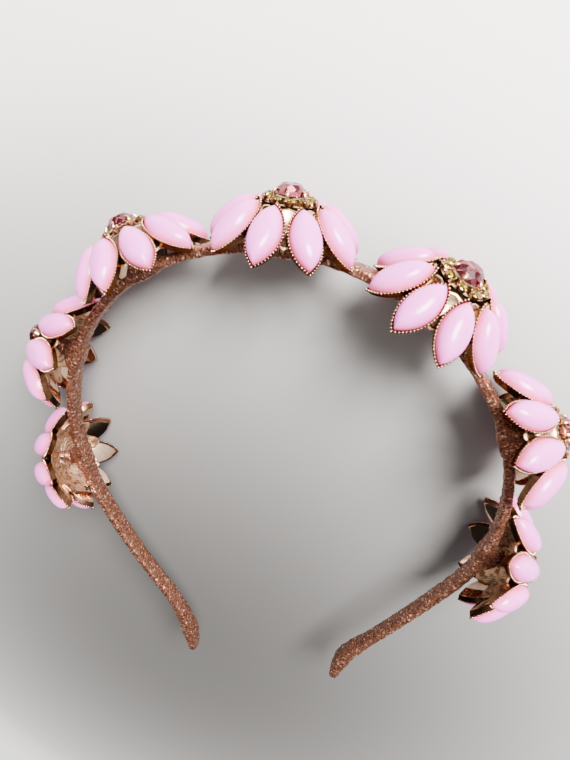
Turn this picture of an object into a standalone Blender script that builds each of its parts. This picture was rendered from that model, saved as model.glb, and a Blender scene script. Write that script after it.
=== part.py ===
"""Flower headband: a ribbon-wrapped band that carries seven stone flowers.

Metres, +Z up. The headband lies on its side, on the lowest petals of its flowers. Its crown points
to +Y and its two ends to -Y, and the origin is at the centre of its footprint. Sizes are written in
millimetres and degrees.
"""

import math

import bmesh
import bpy
from mathutils import Matrix, Vector

MM = 0.001
UP = Vector((0, 0, 1))

# Band: a strip with its wide face towards the head, wrapped in ribbon
BAND_WIDTH = 5.0 * MM
BAND_THICKNESS = 2.6 * MM
BAND_CHAMFER = 0.8 * MM
LONGEST_STATION_GAP = 9.5 * MM
CROWN = Vector((-0.4, 72.62, 0)) * MM

# Arcs of the centreline, from the crown down each side. Columns: stretch, then length in mm and
# inward turn in degrees on the left, then the same on the right.
BAND_STRETCHES = (
    ("crown", 38.4, 33.3, 43.4, 39.4),
    ("temple", 45.9, 44.3, 41.4, 36.0),
    ("side", 47.2, 37.2, 45.0, 42.6),
    ("arm", 39.7, 10.4, 45.6, 4.4),
    ("flared end", 33.8, -33.0, 20.4, -29.0),
)

# Thickening where the ribbon is turned in. Columns: distance from the end in mm, share of the
# band's width, share of its thickness.
END_SHAPE = (
    (0.0, 0.50, 0.60),
    (1.2, 0.84, 1.10),
    (4.0, 0.96, 1.40),
    (11.0, 1.10, 1.80),
    (18.0, 1.06, 1.45),
    (27.0, 1.00, 1.00),
)

# Mound of ribbon that ties each flower's post down, high on the band's outer face and low on its
# inner face. Columns: distance from the flower's seat in mm, share of the mound's height.
MOUND_HEIGHT = 2.4 * MM
INNER_MOUND_HEIGHT = 0.7 * MM
MOUND_SHAPE = ((1.8, 1.0), (5.6, 0.0))

# Flowers, tied on by hand about 37 mm apart. Columns: name, seat in mm from the crown, extra
# stand-off in mm, then in degrees the lean towards the left end, the tilt up and the spin.
FLOWERS = (
    ("1", -113.0, 0.2, 3.3, 2.4, 10.7),
    ("2", -74.5, 0.1, 1.0, 5.0, 17.8),
    ("3", -37.2, 0.4, -1.1, -2.4, 36.0),
    ("4", 0.0, 0.3, -3.5, -3.3, 33.6),
    ("5", 37.4, 0.9, 6.4, 7.8, 14.5),
    ("6", 74.8, 1.2, -1.5, -2.5, 25.8),
    ("7", 113.5, 0.7, 1.9, -3.6, 39.7),
)

# Petal: a pointed oval stone in a metal cup. Radii are from the flower's axis, and heights are
# along it, from the band's centreline.
PETALS = 9
PETAL_LENGTH = 15.7 * MM
PETAL_WIDTH = 7.8 * MM
PETAL_INNER_RADIUS = 6.95 * MM
PETAL_INNER_HEIGHT = 10.4 * MM
PETAL_SLOPE = math.radians(47.0)
SIDE_SEGMENTS = 4

# Levels of a petal, from the back of its cup over its rim to the top of its stone. Columns: share
# of the rim's outline, height over the rim in mm.
PETAL_LEVELS = (
    (0.86, -1.7),
    (1.00, 0.0),
    (0.80, 2.1),
    (0.45, 3.2),
)

# Dish: the cast plate behind the petals
DISH_TOP_GAP = 1.3 * MM
DISH_THICKNESS = 0.8 * MM
DISH_RADIUS = 12.0 * MM
DISH_FLAT_HEIGHT = 9.2 * MM
DISH_EDGE_SLANT = 0.2 * MM
DISH_UNDERSIDE_INSET = 0.6 * MM
POST_ROOT_DEPTH = 0.4 * MM
POST_RADIUS = 1.2 * MM
POST_GAP = 0.45 * MM
POST_SIDES = 6

# Cluster: a cup for the centre stone inside a ring of small stones
PIECE_GAP = 0.3 * MM
SEAT_PLATE_RADIUS = 6.4 * MM
SEAT_PLATE_THICKNESS = 0.7 * MM
SMALL_STONE_RING = 5.1 * MM
SMALL_STONE_RADIUS = 1.3 * MM
SMALL_CUP_FOOT_RADIUS = 1.1 * MM
SMALL_TABLE_RADIUS = 0.62 * MM
SMALL_CUP_HEIGHT = 1.45 * MM
SMALL_CROWN_HEIGHT = 0.65 * MM
STONE_SIDES = 8
CENTRE_CUP_RADIUS = 3.8 * MM
CENTRE_CUP_WALL = 0.45 * MM
CENTRE_CUP_HEIGHT = 1.9 * MM
CENTRE_CUP_FLARE = 1.0 * MM
CENTRE_CUP_FLOOR = 0.4 * MM
CUP_SIDES = 8
CLAWS = 6
CLAW_WIDTH = 0.7 * MM
CLAW_THICKNESS = 0.4 * MM
CLAW_ROOT_DEPTH = 0.5 * MM
CLAW_REACH = 0.8 * MM
CLAW_LEAN = 0.55 * MM

# Centre stone: round, cut with a table and eight crown facets
STONE_RADIUS = 3.75 * MM
STONE_TABLE_RADIUS = 2.0 * MM
STONE_CULET_RADIUS = 1.3 * MM
STONE_CROWN = 2.0 * MM
STONE_GIRDLE = 0.25 * MM
STONE_PAVILION = 1.0 * MM
STONE_LIFT = 0.45 * MM

# Columns: material, colour, roughness, metallic
MATERIALS = {
    "rose_ribbon": ((0.52, 0.24, 0.16), 0.45, 0.75),
    "pink_stone": ((0.91, 0.60, 0.72), 0.15, 0.0),
    "light_gold": ((0.86, 0.68, 0.42), 0.25, 1.0),
    "rose_crystal": ((0.80, 0.35, 0.38), 0.05, 0.0),
}


def make_materials():
    made = {}
    for name, (colour, roughness, metallic) in MATERIALS.items():
        material = bpy.data.materials.new(name)
        material.use_nodes = True
        shader = material.node_tree.nodes["Principled BSDF"]
        shader.inputs["Base Color"].default_value = (*colour, 1)
        shader.inputs["Roughness"].default_value = roughness
        shader.inputs["Metallic"].default_value = metallic
        made[name] = material
    return made


def read_table(rows, distance):
    """Straight-line reading of a table of (distance in mm, value, ...) rows, held past its ends."""
    at = distance / MM
    if at <= rows[0][0]:
        return rows[0][1:]
    for before, after in zip(rows, rows[1:]):
        if at <= after[0]:
            share = (at - before[0]) / (after[0] - before[0])
            return tuple(a + share * (b - a) for a, b in zip(before[1:], after[1:]))
    return rows[-1][1:]


# Band


def side_lengths():
    """Length of the centreline from the crown to the left end and to the right end."""
    left = sum(row[1] for row in BAND_STRETCHES) * MM
    right = sum(row[3] for row in BAND_STRETCHES) * MM
    return left, right


def band_point(position):
    """Point of the centreline at a signed distance from the crown, and the way out of the loop."""
    side = -1 if position < 0 else 1
    column = 1 if side < 0 else 3
    x, y, heading, left_over = 0.0, 0.0, 0.0, abs(position)
    for row in BAND_STRETCHES:
        length, turn = row[column] * MM, -math.radians(row[column + 1])
        bend = turn / length
        step = min(left_over, length)
        end = heading + bend * step
        x += (math.sin(end) - math.sin(heading)) / bend
        y -= (math.cos(end) - math.cos(heading)) / bend
        heading = end
        left_over -= step
        if left_over <= 0:
            break
    point = CROWN + Vector((side * x, y, band_height()))
    outward = Vector((-side * math.sin(heading), math.cos(heading), 0))
    return point, outward


def band_stations():
    """Distances from the crown at which the band's cross-section is drawn."""
    left, right = side_lengths()
    marks = {-left, right}
    for distance, *_ in END_SHAPE:
        marks |= {-left + distance * MM, right - distance * MM}
    for _, seat, *_ in FLOWERS:
        for distance, _ in MOUND_SHAPE:
            marks |= {(seat - distance) * MM, (seat + distance) * MM}
    marks = sorted(marks)
    stations = [marks[0]]
    for mark in marks[1:]:
        gap = mark - stations[-1]
        count = max(1, math.ceil(gap / LONGEST_STATION_GAP))
        start = stations[-1]
        stations += [start + gap * (i + 1) / count for i in range(count)]
    return stations


def band_section(position):
    """Corners of the band's cross-section, as (outward, up) offsets from its centreline."""
    left, right = side_lengths()
    from_end = min(position + left, right - position)
    width_share, thickness_share = read_table(END_SHAPE, from_end)
    flower = min(FLOWERS, key=lambda row: abs(position - row[1] * MM))
    mound = read_table(MOUND_SHAPE, abs(position - flower[1] * MM))[0]
    half_width = BAND_WIDTH / 2 * width_share
    half_thickness = BAND_THICKNESS / 2 * thickness_share
    chamfer = min(BAND_CHAMFER, half_thickness * 0.7)
    outer = half_thickness + mound * (MOUND_HEIGHT + flower[2] * MM)
    inner = -half_thickness - mound * INNER_MOUND_HEIGHT
    return [
        (outer, half_width - chamfer),
        (half_thickness - chamfer, half_width),
        (-half_thickness + chamfer, half_width),
        (inner, half_width - chamfer),
        (inner, -half_width + chamfer),
        (-half_thickness + chamfer, -half_width),
        (half_thickness - chamfer, -half_width),
        (outer, -half_width + chamfer),
    ]


def make_band(material):
    mesh = bmesh.new()
    rings = []
    for position in band_stations():
        point, outward = band_point(position)
        corners = [point + outward * out + UP * up for out, up in band_section(position)]
        rings.append([mesh.verts.new(corner) for corner in corners])
    loft(mesh, rings)
    return finish(mesh, "band", material)


# Shared mesh steps


def loft(mesh, rings):
    """Joins rings of equal counts, first to last, and caps both ends."""
    for lower, upper in zip(rings, rings[1:]):
        count = len(lower)
        for i in range(count):
            j = (i + 1) % count
            mesh.faces.new((lower[i], lower[j], upper[j], upper[i]))
    mesh.faces.new(rings[0][::-1])
    mesh.faces.new(rings[-1])


def turned_rings(mesh, profile, sides, centre=(0.0, 0.0), start_angle=0.0):
    """One ring of vertices for each (radius, height) of the profile."""
    rings = []
    for radius, height in profile:
        ring = []
        for i in range(sides):
            angle = start_angle + 2 * math.pi * i / sides
            x = centre[0] + radius * math.cos(angle)
            y = centre[1] + radius * math.sin(angle)
            ring.append(mesh.verts.new((x, y, height)))
        rings.append(ring)
    return rings


def finish(mesh, name, material):
    bmesh.ops.recalc_face_normals(mesh, faces=mesh.faces)
    data = bpy.data.meshes.new(name)
    mesh.to_mesh(data)
    mesh.free()
    made = bpy.data.objects.new(name, data)
    made.data.materials.append(material)
    bpy.context.scene.collection.objects.link(made)
    return made


def fuse(name, pieces, material):
    """Boolean union of overlapping pieces, as one plain mesh."""
    whole = pieces[0]
    for piece in pieces[1:]:
        union = whole.modifiers.new("union", "BOOLEAN")
        union.operation = "UNION"
        union.object = piece
    bpy.context.view_layer.update()
    depsgraph = bpy.context.evaluated_depsgraph_get()
    data = bpy.data.meshes.new_from_object(whole.evaluated_get(depsgraph))
    data.name = name
    for piece in pieces:
        bpy.data.objects.remove(piece)
    data.materials.clear()
    data.materials.append(material)
    data.shade_smooth()
    data.set_sharp_from_angle(angle=math.radians(35))
    return data


# Petals and dish, in the flower's own frame: +Z along its axis, +X at no spin


def petal_frame(index):
    """Centre of a petal's rim plane, and its directions: along to the tip, across and outwards."""
    angle = 2 * math.pi * index / PETALS
    radial = Vector((math.cos(angle), math.sin(angle), 0))
    along = radial * math.cos(PETAL_SLOPE) - UP * math.sin(PETAL_SLOPE)
    normal = radial * math.sin(PETAL_SLOPE) + UP * math.cos(PETAL_SLOPE)
    inner_tip = radial * PETAL_INNER_RADIUS + UP * PETAL_INNER_HEIGHT
    return inner_tip + along * PETAL_LENGTH / 2, along, normal.cross(along), normal


def pointed_oval():
    """Outline of the rim as (along, across) points: two arcs that meet at the tips."""
    half_length, half_width = PETAL_LENGTH / 2, PETAL_WIDTH / 2
    arc_radius = (half_length**2 + half_width**2) / (2 * half_width)
    half_angle = math.asin(half_length / arc_radius)
    one_side = []
    for i in range(SIDE_SEGMENTS):
        angle = half_angle * (1 - 2 * i / SIDE_SEGMENTS)
        across = arc_radius * math.cos(angle) - (arc_radius - half_width)
        one_side.append((arc_radius * math.sin(angle), across))
    return one_side + [(-along, -across) for along, across in one_side]


def make_petal(index, material):
    centre, along, across, normal = petal_frame(index)
    mesh = bmesh.new()
    rings = []
    for share, height in PETAL_LEVELS:
        flat = [(along * u + across * v) * share for u, v in pointed_oval()]
        rings.append([mesh.verts.new(centre + point + normal * height * MM) for point in flat])
    loft(mesh, rings)
    return finish(mesh, f"petal_{index}", material)


def rim_height(radius):
    """Height of the petals' rim plane at a radius."""
    return PETAL_INNER_HEIGHT - (radius - PETAL_INNER_RADIUS) * math.tan(PETAL_SLOPE)


def make_dish(material):
    drop = DISH_TOP_GAP / math.cos(PETAL_SLOPE)
    thickness = DISH_THICKNESS / math.cos(PETAL_SLOPE)
    bend_radius = PETAL_INNER_RADIUS + (PETAL_INNER_HEIGHT - drop - DISH_FLAT_HEIGHT) / math.tan(PETAL_SLOPE)
    edge_height = rim_height(DISH_RADIUS) - drop
    under_bend = bend_radius - DISH_UNDERSIDE_INSET
    under_height = rim_height(under_bend) - drop - thickness
    profile = [
        (under_bend, under_height),
        (DISH_RADIUS - DISH_EDGE_SLANT, edge_height - thickness),
        (DISH_RADIUS, edge_height),
        (bend_radius, DISH_FLAT_HEIGHT),
    ]
    mesh = bmesh.new()
    loft(mesh, turned_rings(mesh, profile, PETALS, start_angle=math.pi / PETALS))
    return finish(mesh, "dish", material)


def make_post(material):
    foot = BAND_THICKNESS / 2 + MOUND_HEIGHT + POST_GAP
    profile = [(POST_RADIUS, foot), (POST_RADIUS, DISH_FLAT_HEIGHT - POST_ROOT_DEPTH)]
    mesh = bmesh.new()
    loft(mesh, turned_rings(mesh, profile, POST_SIDES))
    return finish(mesh, "post", material)


def petal_setting_mesh(material):
    petals = [make_petal(index, material) for index in range(PETALS)]
    return fuse("petal_setting", [make_dish(material), make_post(material), *petals], material)


# Cluster and centre stone


def make_seat(material):
    """Plate under the cluster, with the open cup that holds the centre stone."""
    low = DISH_FLAT_HEIGHT + PIECE_GAP
    plate = low + SEAT_PLATE_THICKNESS
    brim = low + CENTRE_CUP_HEIGHT
    foot_radius = CENTRE_CUP_RADIUS - CENTRE_CUP_FLARE
    profile = [
        (SEAT_PLATE_RADIUS, low),
        (SEAT_PLATE_RADIUS, plate),
        (foot_radius, plate),
        (CENTRE_CUP_RADIUS, brim),
        (CENTRE_CUP_RADIUS - CENTRE_CUP_WALL, brim),
        (foot_radius - CENTRE_CUP_WALL, plate + CENTRE_CUP_FLOOR),
    ]
    mesh = bmesh.new()
    loft(mesh, turned_rings(mesh, profile, CUP_SIDES))
    return finish(mesh, "seat", material)


def make_small_stone(index, material):
    """Small cut stone in its cup, half-way between two petals."""
    angle = 2 * math.pi * (index + 0.5) / PETALS
    centre = (SMALL_STONE_RING * math.cos(angle), SMALL_STONE_RING * math.sin(angle))
    low = DISH_FLAT_HEIGHT + PIECE_GAP
    brim = low + SMALL_CUP_HEIGHT
    profile = [
        (SMALL_CUP_FOOT_RADIUS, low + SEAT_PLATE_THICKNESS / 2),
        (SMALL_STONE_RADIUS, brim),
        (SMALL_TABLE_RADIUS, brim + SMALL_CROWN_HEIGHT),
    ]
    mesh = bmesh.new()
    loft(mesh, turned_rings(mesh, profile, STONE_SIDES, centre, angle))
    return finish(mesh, f"small_stone_{index}", material)


def make_claw(index, material):
    """Claw that rises from the centre cup and leans over the stone's crown."""
    angle = 2 * math.pi * (index + 0.5) / CLAWS
    outward = Vector((math.cos(angle), math.sin(angle), 0))
    sideways = UP.cross(outward) * CLAW_WIDTH / 2
    brim = DISH_FLAT_HEIGHT + PIECE_GAP + CENTRE_CUP_HEIGHT
    foot = brim - CLAW_ROOT_DEPTH
    bend = brim + STONE_LIFT + STONE_GIRDLE
    bend_radius = STONE_RADIUS + PIECE_GAP
    tip_radius = bend_radius - CLAW_LEAN
    profile = [
        (CENTRE_CUP_RADIUS - PIECE_GAP, foot),
        (CENTRE_CUP_RADIUS + CLAW_THICKNESS, foot),
        (bend_radius + CLAW_THICKNESS, bend),
        (tip_radius + CLAW_THICKNESS, bend + CLAW_REACH),
        (tip_radius, bend + CLAW_REACH),
        (bend_radius, bend),
    ]
    mesh = bmesh.new()
    near, far = ([mesh.verts.new(outward * r + UP * z + sideways * s) for r, z in profile] for s in (-1, 1))
    loft(mesh, [near, far])
    return finish(mesh, f"claw_{index}", material)


def cluster_mesh(material):
    small_stones = [make_small_stone(index, material) for index in range(PETALS)]
    claws = [make_claw(index, material) for index in range(CLAWS)]
    return fuse("cluster", [make_seat(material), *small_stones, *claws], material)


def centre_stone_mesh(material):
    low = DISH_FLAT_HEIGHT + PIECE_GAP + CENTRE_CUP_HEIGHT + STONE_LIFT
    profile = [
        (STONE_CULET_RADIUS, low - STONE_PAVILION),
        (STONE_RADIUS, low),
        (STONE_RADIUS, low + STONE_GIRDLE),
        (STONE_TABLE_RADIUS, low + STONE_GIRDLE + STONE_CROWN),
    ]
    mesh = bmesh.new()
    loft(mesh, turned_rings(mesh, profile, STONE_SIDES))
    made = finish(mesh, "centre_stone", material)
    data = made.data
    bpy.data.objects.remove(made)
    return data


# Placing the flowers


def lowest_reach(tilt, spin):
    """How far a flower's lowest petal reaches below the band's centreline."""
    centre, along, _, normal = petal_frame(0)
    reach = 0.0
    for share, height in PETAL_LEVELS:
        point = centre + along * share * PETAL_LENGTH / 2 + normal * height * MM
        for index in range(PETALS):
            turn = math.radians(spin) + 2 * math.pi * index / PETALS
            up = point.z * math.sin(tilt) + point.x * math.cos(turn) * math.cos(tilt)
            reach = max(reach, -up)
    return reach


def band_height():
    """Height of the band's centreline: the headband lies on the lowest petals."""
    return max(lowest_reach(math.radians(tilt), spin) for *_, tilt, spin in FLOWERS)


def flower_placement(seat, stand_off, lean, tilt, spin):
    point, outward = band_point(seat * MM)
    point += outward * stand_off * MM
    outward = Matrix.Rotation(math.radians(lean), 3, "Z") @ outward
    tilt = math.radians(tilt)
    axis = outward * math.cos(tilt) + UP * math.sin(tilt)
    start = (UP - axis * axis.z).normalized()
    frame = Matrix((start, axis.cross(start), axis)).transposed().to_4x4()
    return Matrix.Translation(point) @ frame @ Matrix.Rotation(math.radians(spin), 4, "Z")


def main():
    for old in list(bpy.data.objects):
        bpy.data.objects.remove(old)
    materials = make_materials()
    make_band(materials["rose_ribbon"])
    shapes = {
        "petal_setting": petal_setting_mesh(materials["pink_stone"]),
        "cluster": cluster_mesh(materials["light_gold"]),
        "centre_stone": centre_stone_mesh(materials["rose_crystal"]),
    }
    for name, *place in FLOWERS:
        for shape, data in shapes.items():
            piece = bpy.data.objects.new(f"{shape}_{name}", data)
            bpy.context.scene.collection.objects.link(piece)
            piece.matrix_world = flower_placement(*place)


main()
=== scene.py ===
import math

import bmesh
import bpy
from mathutils import Matrix, Vector, noise


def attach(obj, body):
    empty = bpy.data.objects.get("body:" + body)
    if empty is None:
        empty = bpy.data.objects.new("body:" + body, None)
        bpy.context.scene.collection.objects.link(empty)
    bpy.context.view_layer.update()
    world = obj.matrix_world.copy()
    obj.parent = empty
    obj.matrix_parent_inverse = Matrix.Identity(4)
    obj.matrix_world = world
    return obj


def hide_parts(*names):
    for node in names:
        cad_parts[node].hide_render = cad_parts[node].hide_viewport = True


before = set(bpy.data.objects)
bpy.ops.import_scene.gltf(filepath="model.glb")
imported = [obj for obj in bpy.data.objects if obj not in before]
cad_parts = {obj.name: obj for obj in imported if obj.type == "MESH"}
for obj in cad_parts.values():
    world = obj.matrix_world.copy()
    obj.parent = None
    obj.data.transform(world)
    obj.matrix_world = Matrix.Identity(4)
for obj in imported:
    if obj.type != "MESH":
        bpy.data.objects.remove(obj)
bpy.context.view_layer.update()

mm = 0.001
up = Vector((0, 0, 1))
scene = bpy.context.scene
print("frame loaded:", len(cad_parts), "solids")

# camera: beyond the crown, looking down and back over the band

cameraSettings = {
    "place": (30.37, 108.22, 136.36),  # mm
    "right": (0.962200, 0.060120, -0.265625),
    "up": (-0.183129, 0.864738, -0.467646),
    "back": (0.201581, 0.498612, 0.843060),
    "lens": 25.51,
    "sensorHeight": 36,
    "nearest": 0.005,  # m
}


def makeCamera(s):
    data = bpy.data.cameras.new("photoCamera")
    data.sensor_fit = "VERTICAL"
    data.sensor_height = s["sensorHeight"]
    data.lens = s["lens"]
    data.clip_start = s["nearest"]
    camera = bpy.data.objects.new("photoCamera", data)
    turn = Matrix((s["right"], s["up"], s["back"])).transposed().to_4x4()
    camera.matrix_world = Matrix.Translation(Vector(s["place"]) * mm) @ turn
    scene.collection.objects.link(camera)
    scene.camera = camera


makeCamera(cameraSettings)

# where things sit, as the solids have it

bandPath = {
    "crown": (-0.40, 72.62),
    "height": 18.078,
    # length and inward turn of each arc from the crown, in mm and degrees
    "left": ((38.4, 33.3), (45.9, 44.3), (47.2, 37.2), (39.7, 10.4), (33.8, -33.0)),
    "right": ((43.4, 39.4), (41.4, 36.0), (45.0, 42.6), (45.6, 4.4), (20.4, -29.0)),
}

# seat along the band and stand-off in mm, then lean, tilt and spin in degrees
flowerPlaces = {
    1: (-113.0, 0.2, 3.3, 2.4, 10.7),
    2: (-74.5, 0.1, 1.0, 5.0, 17.8),
    3: (-37.2, 0.4, -1.1, -2.4, 36.0),
    4: (0.0, 0.3, -3.5, -3.3, 33.6),
    5: (37.4, 0.9, 6.4, 7.8, 14.5),
    6: (74.8, 1.2, -1.5, -2.5, 25.8),
    7: (113.5, 0.7, 1.9, -3.6, 39.7),
}


# point of the band's middle line at a signed distance in mm from the crown, and the way out
def bandPoint(position):
    side = -1 if position < 0 else 1
    arcs = bandPath["left" if side < 0 else "right"]
    x = y = heading = 0.0
    remaining = abs(position)
    for number, (length, turn) in enumerate(arcs):
        bend = -math.radians(turn) / length
        step = remaining if number == len(arcs) - 1 else min(remaining, length)
        end = heading + bend * step
        x += (math.sin(end) - math.sin(heading)) / bend
        y -= (math.cos(end) - math.cos(heading)) / bend
        heading = end
        remaining -= step
        if remaining <= 0:
            break
    crown = bandPath["crown"]
    point = Vector((crown[0] + side * x, crown[1] + y, bandPath["height"])) * mm
    return point, Vector((-side * math.sin(heading), math.cos(heading), 0))


def flowerMatrix(number):
    seat, standOff, lean, tilt, spin = flowerPlaces[number]
    point, outward = bandPoint(seat)
    point += outward * standOff * mm
    outward = Matrix.Rotation(math.radians(lean), 3, "Z") @ outward
    tilt = math.radians(tilt)
    axis = outward * math.cos(tilt) + up * math.sin(tilt)
    start = (up - axis * axis.z).normalized()
    turn = Matrix((start, axis.cross(start), axis)).transposed().to_4x4()
    return Matrix.Translation(point) @ turn @ Matrix.Rotation(math.radians(spin), 4, "Z")


# node trees that repeat things


def addNode(tree, kind, **values):
    node = tree.nodes.new(kind)
    for name, value in values.items():
        setattr(node, name, value)
    return node


def newTree(name, inputs):
    tree = bpy.data.node_groups.new(name, "GeometryNodeTree")
    tree.interface.new_socket(name="Geometry", in_out="INPUT", socket_type="NodeSocketGeometry")
    for label, kind, value in inputs:
        socket = tree.interface.new_socket(name=label, in_out="INPUT", socket_type=kind)
        if value is not None:
            socket.default_value = value
    tree.interface.new_socket(name="Geometry", in_out="OUTPUT", socket_type="NodeSocketGeometry")
    return tree, addNode(tree, "NodeGroupInput"), addNode(tree, "NodeGroupOutput")


def endTree(tree, instances, start, end):
    real = addNode(tree, "GeometryNodeRealizeInstances")
    paint = addNode(tree, "GeometryNodeSetMaterial")
    tree.links.new(instances, real.inputs["Geometry"])
    tree.links.new(real.outputs["Geometry"], paint.inputs["Geometry"])
    tree.links.new(start.outputs["Material"], paint.inputs["Material"])
    tree.links.new(paint.outputs["Geometry"], end.inputs["Geometry"])


# copies of the piece, turned about Z at even steps
def makeTurnedCopiesTree():
    tree, start, end = newTree("turnedCopies", (
        ("Count", "NodeSocketInt", 9),
        ("First angle", "NodeSocketFloat", 0.0),
        ("Material", "NodeSocketMaterial", None),
    ))
    link = tree.links.new
    points = addNode(tree, "GeometryNodeMeshLine", mode="OFFSET")
    points.inputs["Offset"].default_value = (0, 0, 0)
    link(start.outputs["Count"], points.inputs["Count"])
    index = addNode(tree, "GeometryNodeInputIndex")
    step = addNode(tree, "ShaderNodeMath", operation="DIVIDE")
    step.inputs[0].default_value = math.tau
    link(start.outputs["Count"], step.inputs[1])
    angle = addNode(tree, "ShaderNodeMath", operation="MULTIPLY_ADD")
    link(index.outputs[0], angle.inputs[0])
    link(step.outputs[0], angle.inputs[1])
    link(start.outputs["First angle"], angle.inputs[2])
    turn = addNode(tree, "ShaderNodeCombineXYZ")
    link(angle.outputs[0], turn.inputs["Z"])
    copies = addNode(tree, "GeometryNodeInstanceOnPoints")
    link(points.outputs["Mesh"], copies.inputs["Points"])
    link(start.outputs["Geometry"], copies.inputs["Instance"])
    link(turn.outputs[0], copies.inputs["Rotation"])
    endTree(tree, copies.outputs["Instances"], start, end)
    return tree


# small beads along every edge path of the piece
def makeBeadRowTree():
    tree, start, end = newTree("beadRow", (
        ("Beads", "NodeSocketInt", 56),
        ("Bead size", "NodeSocketVector", (0.0004, 0.0004, 0.0004)),
        ("Segments", "NodeSocketInt", 8),
        ("Rings", "NodeSocketInt", 5),
        ("Material", "NodeSocketMaterial", None),
    ))
    link = tree.links.new
    path = addNode(tree, "GeometryNodeMeshToCurve")
    link(start.outputs["Geometry"], path.inputs["Mesh"])
    points = addNode(tree, "GeometryNodeCurveToPoints", mode="COUNT")
    link(path.outputs["Curve"], points.inputs["Curve"])
    link(start.outputs["Beads"], points.inputs["Count"])
    bead = addNode(tree, "GeometryNodeMeshUVSphere")
    bead.inputs["Radius"].default_value = 0.5
    link(start.outputs["Segments"], bead.inputs["Segments"])
    link(start.outputs["Rings"], bead.inputs["Rings"])
    smooth = addNode(tree, "GeometryNodeSetShadeSmooth")
    link(bead.outputs["Mesh"], smooth.inputs["Geometry"])
    copies = addNode(tree, "GeometryNodeInstanceOnPoints")
    link(points.outputs["Points"], copies.inputs["Points"])
    link(points.outputs["Rotation"], copies.inputs["Rotation"])
    link(smooth.outputs["Geometry"], copies.inputs["Instance"])
    link(start.outputs["Bead size"], copies.inputs["Scale"])
    endTree(tree, copies.outputs["Instances"], start, end)
    return tree


turnedCopies = makeTurnedCopiesTree()
beadRow = makeBeadRowTree()


# puts a tree on the piece and sets its inputs by their identifiers
def useTree(piece, tree, **values):
    modifier = piece.modifiers.new(tree.name, "NODES")
    modifier.node_group = tree
    for item in tree.interface.items_tree:
        first, *others = item.name.split()
        key = first.lower() + "".join(word.capitalize() for word in others)
        if item.in_out == "INPUT" and key in values:
            modifier[item.identifier] = values.pop(key)
    if values:
        raise ValueError(f"{tree.name} has no input for {sorted(values)}")


# the evaluated piece as a plain mesh, with the working piece removed
def settle(piece):
    bpy.context.view_layer.update()
    depsgraph = bpy.context.evaluated_depsgraph_get()
    mesh = bpy.data.meshes.new_from_object(piece.evaluated_get(depsgraph))
    bpy.data.objects.remove(piece)
    return mesh


# mesh steps


def newPiece(name, mesh, material=None):
    piece = bpy.data.objects.new(name, mesh)
    if material:
        mesh.materials.clear()
        mesh.materials.append(material)
    scene.collection.objects.link(piece)
    return piece


def fromBmesh(name, work, sharpAngle=None):
    bmesh.ops.recalc_face_normals(work, faces=work.faces)
    mesh = bpy.data.meshes.new(name)
    work.to_mesh(mesh)
    work.free()
    if sharpAngle is not None:
        mesh.shade_smooth()
        mesh.set_sharp_from_angle(angle=math.radians(sharpAngle))
    return mesh


# skins a row of closed rings; a cap is "flat", "point" (the point given) or None
def skin(work, rings, startCap="flat", endCap="flat"):
    rows = [[work.verts.new(point) for point in ring] for ring in rings]
    for lower, upper in zip(rows, rows[1:]):
        for i in range(len(lower)):
            j = (i + 1) % len(lower)
            work.faces.new((lower[i], lower[j], upper[j], upper[i]))
    for cap, row, turnBack in ((startCap, rows[0], True), (endCap, rows[-1], False)):
        if isinstance(cap, Vector):
            middle = work.verts.new(cap)
            for i in range(len(row)):
                work.faces.new((row[i], row[(i + 1) % len(row)], middle))
        elif cap == "flat":
            work.faces.new(row[::-1] if turnBack else row)
    return rows


def turnedRing(radius, height, sides, first=0.0, middle=(0.0, 0.0)):
    steps = [first + math.tau * i / sides for i in range(sides)]
    return [Vector((middle[0] + radius * math.cos(a), middle[1] + radius * math.sin(a), height)) * mm
            for a in steps]


def mix(a, b, share):
    return a + (b - a) * share


def smoothStep(low, high, value):
    t = min(1.0, max(0.0, (value - low) / (high - low)))
    return t * t * (3 - 2 * t)


# reads a table of (distance, value, ...) rows
def readTable(rows, at):
    if at <= rows[0][0]:
        return rows[0][1:]
    for before, after in zip(rows, rows[1:]):
        if at <= after[0]:
            t = smoothStep(before[0], after[0], at)
            return tuple(mix(a, b, t) for a, b in zip(before[1:], after[1:]))
    return rows[-1][1:]


# materials


def newMaterial(name):
    material = bpy.data.materials.new(name)
    material.use_nodes = True
    shader = material.node_tree.nodes["Principled BSDF"]
    return material, shader, material.node_tree


def colour(red, green, blue):
    return (red, green, blue, 1)


def grey(level):
    return colour(level, level, level)


def addNoise(tree, place, scale, detail):
    texture = addNode(tree, "ShaderNodeTexNoise")
    texture.inputs["Scale"].default_value = scale
    texture.inputs["Detail"].default_value = detail
    tree.links.new(place, texture.inputs["Vector"])
    return texture.outputs["Fac"]


def addRamp(tree, value, stops, interpolation="LINEAR"):
    ramp = addNode(tree, "ShaderNodeValToRGB")
    ramp.color_ramp.interpolation = interpolation
    elements = ramp.color_ramp.elements
    while len(elements) < len(stops):
        elements.new(0.5)
    for element, (position, paint) in zip(elements, stops):
        element.position = position
        element.color = paint
    tree.links.new(value, ramp.inputs["Fac"])
    return ramp.outputs["Color"]


def addBump(tree, height, strength, distance):
    bump = addNode(tree, "ShaderNodeBump")
    bump.inputs["Strength"].default_value = strength
    bump.inputs["Distance"].default_value = distance
    tree.links.new(height, bump.inputs["Height"])
    return bump.outputs["Normal"]


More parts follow.
